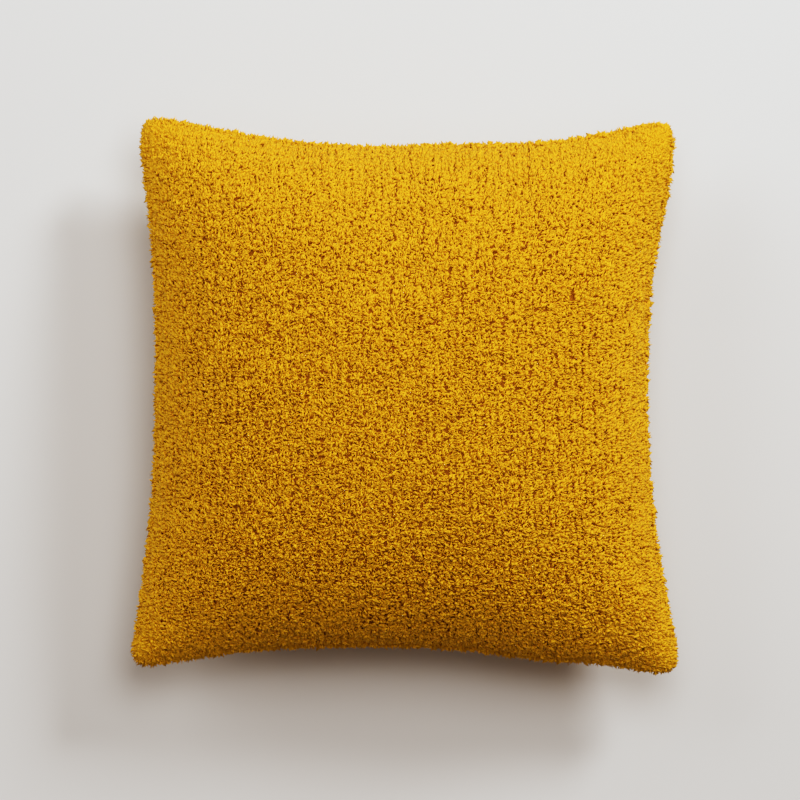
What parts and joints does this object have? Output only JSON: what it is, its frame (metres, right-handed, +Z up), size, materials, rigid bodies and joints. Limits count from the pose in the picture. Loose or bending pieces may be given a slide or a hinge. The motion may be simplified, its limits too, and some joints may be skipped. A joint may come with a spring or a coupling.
{
  "type": "cushion cover",
  "caption": "Square cushion cover in a fluffy long-pile knit, mustard yellow, filled and lying on its back, with drawn-in sides and soft rounded corners.",
  "frame": {"origin": "on the surface it rests on, under the middle of its bounding box", "axes": "+Z up out of the front face, +X across the face to the right, +Y along the face to the far side"},
  "size_m": [0.445, 0.4528, 0.1639],
  "materials": {
    "long_pile_knit": "fluffy long-pile knit, matt with a soft sheen on the fibre tips, mustard yellow"
  },
  "bodies": {
    "root": {"cushion_cover": "long_pile_knit"}
  },
  "joints": []
}
